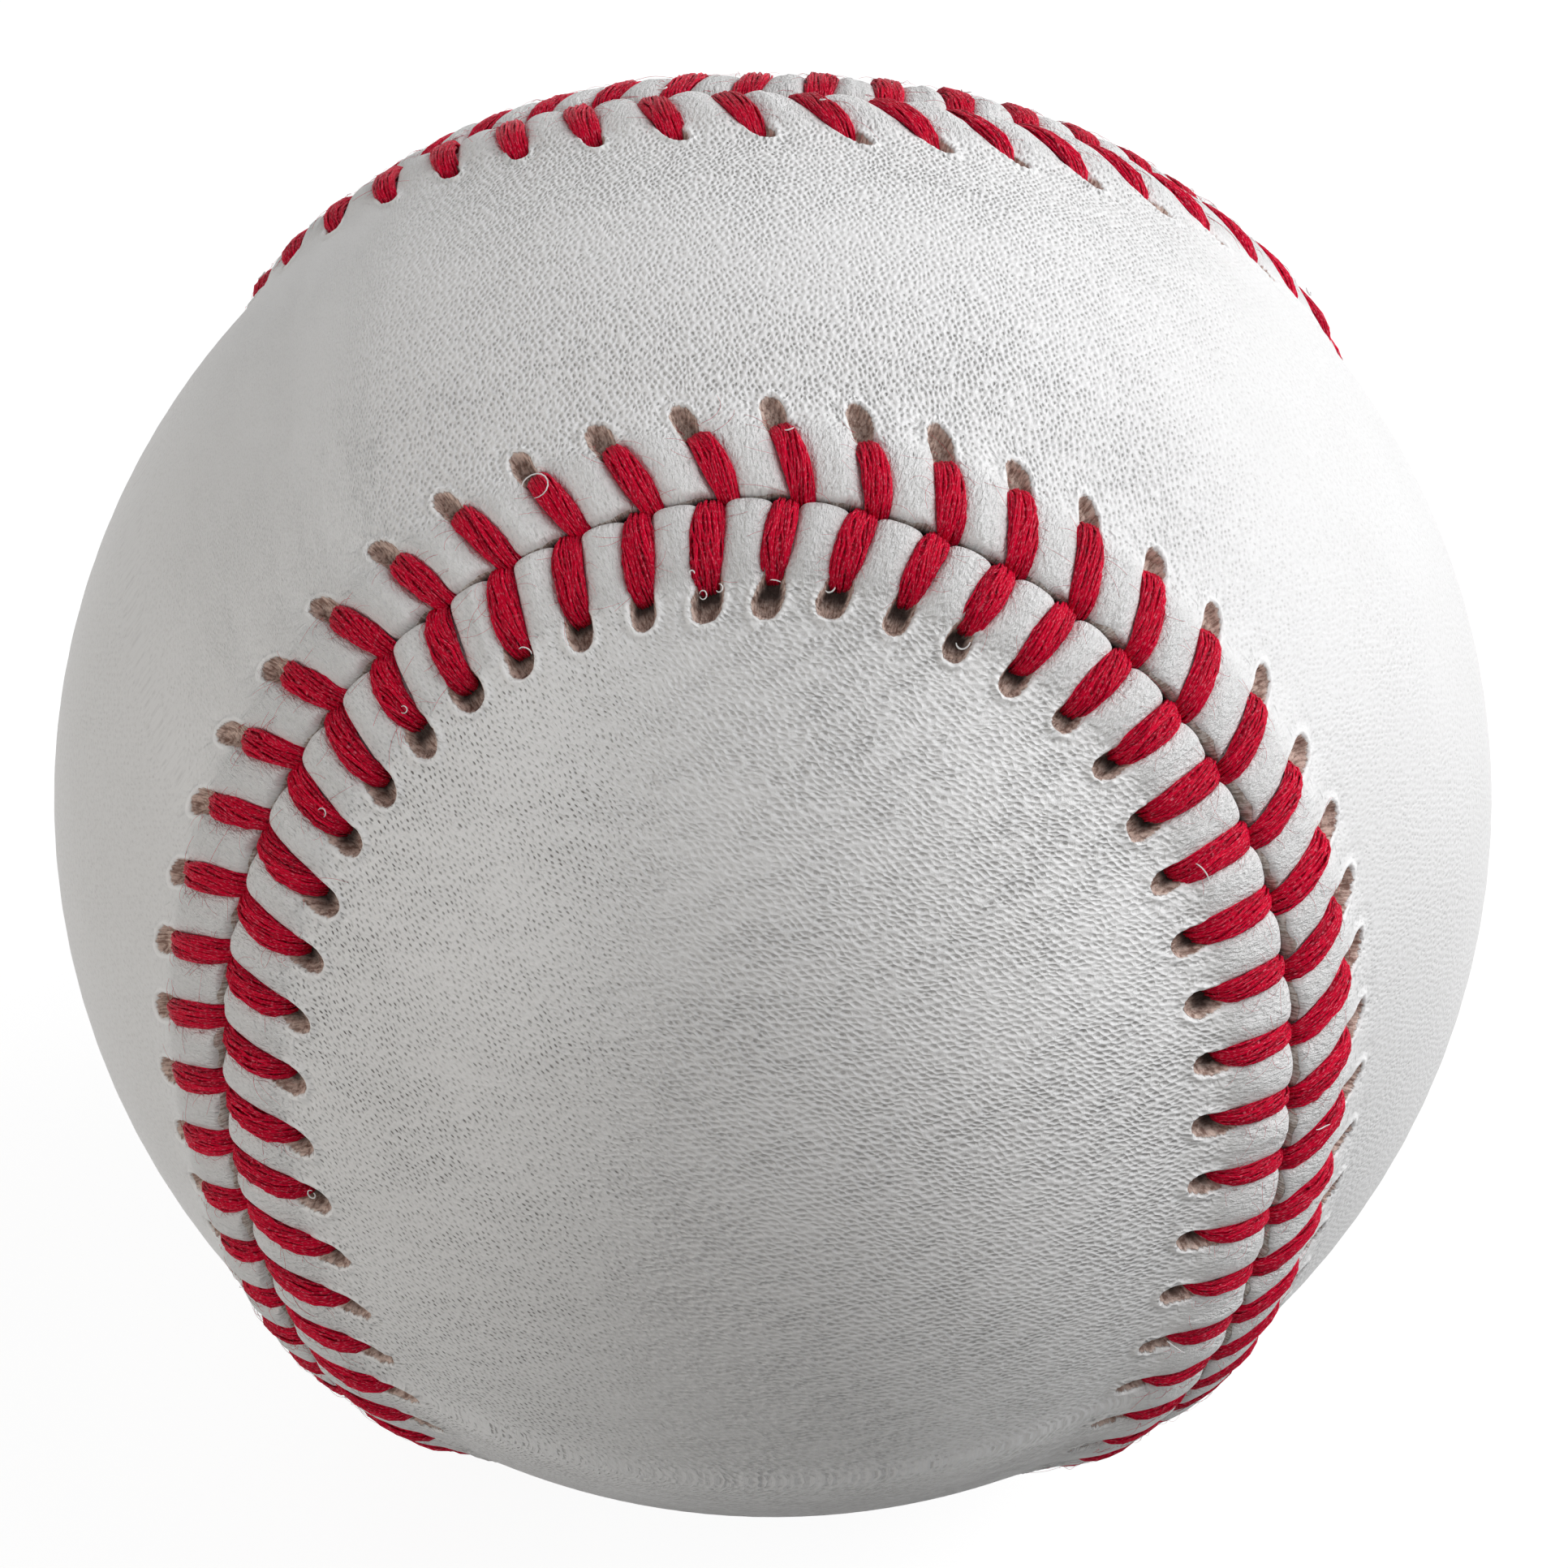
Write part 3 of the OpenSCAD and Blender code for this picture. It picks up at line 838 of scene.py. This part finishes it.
def leather_grain(tree, grain, off_seam, wide, long, turn, rows_turn, streak, calm, lower):
    """How much there is of a pore, of a ridge and of liveliness in the skin, and how much
    greyer the leather is. The grain gets fainter, down to the share streak between its rows
    and to the share calm towards the lobes."""
    along, aside = tree.part(grain, 0), tree.part(grain, 1)
    lively = tree.fit(tree.off_zero(along), 13.0, 30.0, 1.0, calm)
    bare = tree.fit(off_seam, 2.6, 5.6, 0.3, 1.0)
    patch = tree.fit(tree.noise(grain, 0.11, 2.0), 0.3, 0.7, 0.65, 1.0)
    rows = tree.mapped(tree.mapped(grain, turn=rows_turn), scale=(0.22, 0.9, 1))
    patch = tree.times(patch, tree.fit(tree.noise(rows, 1.0, 1.0), 0.35, 0.6, streak, 1.0))
    pore, ridge = pits(tree, grain, wide, long, turn, 45, 0.6)
    if lower:
        # slanting dashes on smooth leather to the left of the picture
        left = tree.fit(aside, -2.0, 11.0)
        dash = pits(tree, grain, 0.22, 0.50, 36, 50, 0.45)[0]
        right = tree.math("SUBTRACT", 1.0, left)
        pore = tree.plus(tree.times(pore, right), tree.times(dash, left))
        pore = tree.times(pore, tree.times_plus(left, 0.45, 0.55))
        ridge = tree.times(ridge, tree.times_plus(left, -0.7, 1.0))
        grey = tree.fit(tree.off_zero(aside), 2.0, 16.0, 0.24, 0.0)
    else:
        lively = tree.times(lively, tree.fit(tree.off_zero(aside), 1.0, 9.0, 0.75, 1.1))
        grey = tree.fit(tree.off_zero(along), 12.0, 28.0, 0.0, 0.11)
    lively = tree.times(tree.times(bare, patch), lively)
    return tree.times(pore, lively), tree.times(ridge, lively), lively, grey


def leather_creases(tree, band, fan, off_seam):
    """Pulled creases round the needle holes, and fine ones down the puffed leather."""
    off_hole = tree.part(fan, 1)
    near = tree.times(tree.fit(off_hole, 2.3, 1.0), tree.fit(off_hole, 0.95, 1.2))
    rays = tree.fit(tree.noise(tree.mapped(fan, scale=(0.85, 0.5, 1)), 1.0, 1.5), 0.42, 0.62)
    creases = tree.noise(tree.mapped(band, scale=(4.6, 1.9, 1), turn=-14), 1.0, 3.0, 0.7)
    return tree.times(rays, near), tree.times(creases, tree.fit(off_seam, 5.0, 3.5))


def suede_colour(tree, fibres, off_seam):
    """The tan of the needle holes, and the paler one of the cut edge beside the seam."""
    tan = tree.mix(tree.fit(fibres, 0.38, 0.60), (0.32, 0.205, 0.165, 1), (0.82, 0.65, 0.565, 1))
    cut = tree.mix(tree.fit(fibres, 0.41, 0.58), (0.44, 0.35, 0.29, 1), (0.92, 0.86, 0.80, 1))
    tan = tree.mix(tree.fit(off_seam, 1.6, 1.0), tan, cut)
    shadow = (0.02, 0.010, 0.008, 1)
    return tree.mix(tree.times(tree.value("deep"), 0.93), tan, shadow)


def leather_material(name, wide, long, turn, pore_depth, ridge_h, pore_tint, rows_turn, streak,
                     calm, lower):
    """White leather with pores of that width and length, in mm, and bare suede in the needle
    holes and on the cut edge. lower chooses the lower panel's smoother left half."""
    tree = surface(name)
    grain, band, fan = tree.uv("grain"), tree.uv("band"), tree.uv("fan")
    off_seam = tree.part(band, 1)
    pore, ridge, lively, grey = leather_grain(
        tree, grain, off_seam, wide, long, turn, rows_turn, streak, calm, lower)
    rays, creases = leather_creases(tree, band, fan, off_seam)
    skin = tree.noise(grain, 3.6, 3.0, 0.75)

    ragged = tree.times_plus(tree.noise(grain, 4.0, 3.0, 0.6), 0.20, -0.10)
    suede = tree.fit(tree.plus(tree.value("edge"), ragged), 0.465, 0.535)
    fibres = tree.noise(tree.mapped(band, scale=(9.0, 2.6, 1), turn=12), 1.0, 3.0, 0.6)
    nap = tree.noise(tree.in_space(2800), 1.0, 3.0, 0.65, flat=False)
    fibres = tree.times(tree.plus(fibres, nap), 0.5)

    height = tree.times(pore, -pore_depth)
    height = tree.times_plus(ridge, ridge_h, height)
    height = tree.times_plus(tree.times(skin, lively), 0.07, height)
    height = tree.times_plus(rays, -0.06, height)
    height = tree.times_plus(creases, 0.24, height)
    height = tree.times_plus(tree.times(suede, fibres), 0.16, height)
    tree.bump(height)

    tint = tree.mix(tree.noise(grain, 0.09, 3.0), (0.87, 0.863, 0.852, 1), (0.94, 0.935, 0.927, 1))
    # each kind of mark on the leather: how much of it there is, and its colour
    for share, colour in (
            (tree.fit(skin, 0.5, 0.3, 0.0, 0.22), (0.55, 0.54, 0.52, 1)),
            (grey, (0.34, 0.335, 0.33, 1)),
            (tree.times(pore, pore_tint), (0.15, 0.125, 0.11, 1)),
            (tree.times(ridge, 0.3), (0.97, 0.97, 0.965, 1)),
            (tree.fit(tree.value("rim"), 0.2, 0.8, 0.0, 0.8), (0.97, 0.965, 0.955, 1))):
        tint = tree.mix(share, tint, colour)
    tree.shade(Base_Color=tree.mix(suede, tint, suede_colour(tree, fibres, off_seam)),
               Roughness=tree.times_plus(suede, 0.45, 0.47),
               Specular_IOR_Level=0.4)
    return tree.owner


def thread_material(name):
    """Red waxed thread: fibres along each strand, some of which catch the light."""
    tree = surface(name)
    strand, tone = tree.uv("strand"), tree.value("tone")
    fibre = tree.noise(tree.mapped(strand, scale=(9.0, 26.0, 1)), 1.0, 2.0, 0.6)
    shade = tree.times_plus(fibre, 0.9, tree.times(tone, 0.5))
    colour = tree.mix(tree.fit(shade, 0.23, 0.82), (0.09, 0.0, 0.003, 1), (0.92, 0.0, 0.046, 1))
    glint = tree.noise(tree.mapped(strand, scale=(6.0, 30.0, 1), turn=8), 1.0, 1.5)
    colour = tree.mix(tree.fit(glint, 0.56, 0.70, 0.0, 0.75), colour, (1.0, 0.20, 0.28, 1))
    tree.bump(tree.times(fibre, 0.10))
    tree.shade(Base_Color=colour, Roughness=0.4, Specular_IOR_Level=0.1)
    return tree.owner


def lint_material(name):
    """White cotton lint."""
    tree = surface(name)
    fibre = tree.noise(tree.mapped(tree.uv("strand"), scale=(4, 20, 1)), 1.0, 2.0)
    tree.bump(tree.times(fibre, 0.03))
    colour = tree.mix(fibre, (0.72, 0.70, 0.68, 1), (0.90, 0.89, 0.88, 1))
    tree.shade(Base_Color=colour, Roughness=0.8)
    return tree.owner


def wound_material(name, dark, light, wide):
    """Yarn wound round a ball, crossing at all angles. wide is two strands' width in mm."""
    tree = surface(name)
    in_mm = tree.in_space(1000)
    layers = None
    for axis in ((0.9, 0.2, 0.3), (0.1, 0.8, -0.5), (-0.4, 0.3, 0.85)):
        across = tree.node("VectorMath", {0: in_mm, 1: axis}, operation="DOT_PRODUCT")
        wave = tree.math("SINE", tree.times(across.outputs["Value"], 2 * math.pi / wide))
        wave = tree.off_zero(wave)
        layers = wave if layers is None else tree.math("MAXIMUM", layers, wave)
    fibre = tree.noise(in_mm, 3.0, 3.0, 0.6, flat=False)
    tree.bump(tree.plus(tree.times(layers, 0.25), tree.times(fibre, 0.2)))
    tree.shade(Base_Color=tree.mix(tree.times(layers, fibre), dark, light), Roughness=0.85)
    return tree.owner


def speckled_material(name, dark, light, scale, rough, bump):
    """Ground cork, moulded rubber or dried cement, by its colours and grain."""
    tree = surface(name)
    in_mm = tree.in_space(1000)
    cells = tree.node("TexVoronoi", {"Vector": in_mm, "Scale": scale}, voronoi_dimensions="3D")
    grain = tree.part(cells.outputs["Color"], 0)
    fine = tree.noise(in_mm, scale * 2.5, 3.0, 0.6, flat=False)
    tree.bump(tree.plus(tree.times(grain, bump), tree.times(fine, bump)))
    blend = tree.times_plus(fine, 0.4, tree.times(grain, 0.6))
    tree.shade(Base_Color=tree.mix(blend, dark, light), Roughness=rough)
    return tree.owner


# Camera and lamps

# The photograph was taken from a good 0.8 m with a long lens, looking down at 42 degrees,
# with the ball a little left of and below the middle of the picture. The angles are in
# degrees and the distance is in radii of the ball.
CAMERA_TURN, CAMERA_LIFT, CAMERA_ROLL = 1.5, 41.96, 0.5
CAMERA_DISTANCE = 22.2
LENS, SENSOR = 366.0, 36.0
SHIFT_X, SHIFT_Y = 0.0071, 0.0092

# Nearly white square lamps: the key from the right, and dimmer ones from the left, front and
# back. Each has its name, azimuth, elevation, width in m, watts and colour.
LAMP_DISTANCE = 0.9
COOL, WARM = (0.98, 0.985, 1.0), (1.0, 0.97, 0.93)
LAMPS = (
    ("key", 102, 25, 0.9, 7.0, COOL),
    ("key_high", 92, 56, 0.8, 3.4, COOL),
    ("left", -85, 5, 0.6, 2.3, WARM),
    ("low_front", -38, 8, 0.5, 2.45, WARM),
    ("front", 5, 52, 0.7, 0.9, COOL),
    ("back", 180, 20, 0.8, 1.3, COOL),
)


def towards(turn, lift):
    """The direction from the ball to that azimuth and elevation, in degrees."""
    turn, lift = math.radians(turn), math.radians(lift)
    level = math.cos(lift)
    return Vector((math.sin(turn) * level, -math.cos(turn) * level, math.sin(lift)))


def facing(back):
    """The rotation of a camera or lamp that lies in that direction and faces the ball."""
    return (-back).to_track_quat("-Z", "Y")


def stand(name, data, place, rotation):
    """Puts a camera or lamp in the scene."""
    made = bpy.data.objects.new(name, data)
    made.matrix_world = Matrix.Translation(place) @ rotation.to_matrix().to_4x4()
    bpy.context.scene.collection.objects.link(made)
    return made


def add_camera():
    """The camera of the photograph."""
    data = bpy.data.cameras.new("camera")
    data.sensor_width = SENSOR
    data.lens = LENS
    data.shift_x, data.shift_y = SHIFT_X, SHIFT_Y
    data.clip_start, data.clip_end = 0.05, 20
    back = towards(CAMERA_TURN, CAMERA_LIFT)
    roll = Quaternion((0, 0, 1), math.radians(CAMERA_ROLL))
    place = back * CAMERA_DISTANCE * BALL_R * MM
    bpy.context.scene.camera = stand("camera", data, place, facing(back) @ roll)


def add_lamp(name, turn, lift, size, watts, colour):
    """A square soft lamp that faces the ball."""
    data = bpy.data.lights.new(name, "AREA")
    data.shape, data.size, data.energy, data.color = "SQUARE", size, watts, colour
    back = towards(turn, lift)
    stand(name, data, back * LAMP_DISTANCE, facing(back))


# Floor and room

# Half the floor's width and its gap under the ball, in m, its grey, and the light it gives off
FLOOR_REACH, FLOOR_GAP = 6.0, 0.00002
FLOOR_GREY, FLOOR_GLOW = 0.18, 0.92
# The room's light on the ball
ROOM_LIGHT = 0.05


def seen_white(tree, plain, white):
    """Shows white where the camera or a reflection looks, and plain for light that bounces."""
    path = tree.node("LightPath").outputs
    seen = path["Is Camera Ray"]
    for name in ("Is Glossy Ray", "Is Transmission Ray"):
        seen = tree.math("MAXIMUM", seen, path[name])
    mixed = tree.node("MixShader", {0: seen, 1: plain, 2: white})
    tree.put(tree.output, mixed.outputs[0])


def add_floor():
    """A matt grey floor that looks white to the camera."""
    mesh = bpy.data.meshes.new("floor")
    height = cad_bounds[0][2] - FLOOR_GAP
    corners = [(x * FLOOR_REACH, y * FLOOR_REACH, height)
               for x, y in ((-1, -1), (1, -1), (1, 1), (-1, 1))]
    mesh.from_pydata(corners, [], [(0, 1, 2, 3)])
    floor = bpy.data.objects.new("floor", mesh)
    bpy.context.scene.collection.objects.link(floor)
    tree = Tree(bpy.data.materials.new("floor"))
    matt = tree.node("BsdfDiffuse", {"Color": (FLOOR_GREY, FLOOR_GREY, FLOOR_GREY, 1)}).outputs[0]
    glow = tree.node("Emission", {"Strength": FLOOR_GLOW}).outputs[0]
    both = tree.node("AddShader", {0: matt, 1: glow}).outputs[0]
    seen_white(tree, matt, both)
    mesh.materials.append(tree.owner)


def add_room():
    """A dim room that looks white to the camera."""
    world = bpy.data.worlds.new("studio")
    bpy.context.scene.world = world
    tree = Tree(world, "OutputWorld")
    dim, white = [tree.node("Background", {"Color": (1, 1, 1, 1), "Strength": strength}).outputs[0]
                  for strength in (ROOM_LIGHT, 1.0)]
    seen_white(tree, dim, white)


# The scene

add_camera()
for lamp in LAMPS:
    add_lamp(*lamp)
add_floor()
add_room()

leathers = {
    "upper": leather_material(
        "leather_upper", wide=0.28, long=0.42, turn=8, pore_depth=0.12, ridge_h=0.10,
        pore_tint=0.6, rows_turn=8, streak=0.85, calm=0.2, lower=False),
    "lower": leather_material(
        "leather_lower", wide=0.27, long=0.56, turn=17, pore_depth=0.10, ridge_h=0.14,
        pore_tint=1.0, rows_turn=70, streak=0.65, calm=1.0, lower=True),
}
thread = thread_material("thread")
for side in (UPPER, LOWER):
    points, faces, uvs, values = leather_mesh(side)
    places = grain_uv(points)
    uvs["grain"] = [places[corners] for corners in faces]
    leather = make_piece(side.name + "_leather", side, points, faces, uvs, values)
    leather.data.materials.append(leathers[side.name])
    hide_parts(side.name + "_cover_panel")
    thread_piece(side).data.materials.append(thread)
    fuzz_piece(side).data.materials.append(thread)

lint_piece().data.materials.append(lint_material("lint"))

# Each material inside the ball, with the nodes that it is on
inner = (
    (speckled_material(
        "cork", (0.30, 0.17, 0.08, 1), (0.68, 0.48, 0.28, 1), scale=0.9, rough=0.9, bump=0.15),
     ["cork_core"]),
    (speckled_material(
        "black_rubber", (0.02, 0.02, 0.02, 1), (0.06, 0.06, 0.06, 1), scale=1.5, rough=0.7, bump=0.03),
     ["inner_rubber_cup_upper", "inner_rubber_cup_lower"]),
    (speckled_material(
        "red_rubber", (0.34, 0.04, 0.03, 1), (0.52, 0.08, 0.05, 1), scale=1.5, rough=0.65, bump=0.03),
     ["rubber_washer", "outer_rubber_jacket"]),
    (wound_material("grey_wool", (0.13, 0.14, 0.15, 1), (0.50, 0.51, 0.53, 1), wide=1.6),
     ["first_wool_winding", "third_wool_winding"]),
    (wound_material("white_wool", (0.45, 0.43, 0.38, 1), (0.88, 0.86, 0.80, 1), wide=1.4),
     ["second_wool_winding"]),
    (wound_material("white_cotton", (0.55, 0.53, 0.48, 1), (0.90, 0.88, 0.84, 1), wide=0.5),
     ["cotton_winding"]),
    (speckled_material(
        "cement", (0.50, 0.40, 0.25, 1), (0.70, 0.60, 0.42, 1), scale=0.6, rough=0.35, bump=0.08),
     ["cement_coat"]),
)
for material, nodes in inner:
    for node in nodes:
        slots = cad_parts[node].data.materials
        slots.clear()
        slots.append(material)

bpy.context.scene.view_settings.view_transform = "Standard"
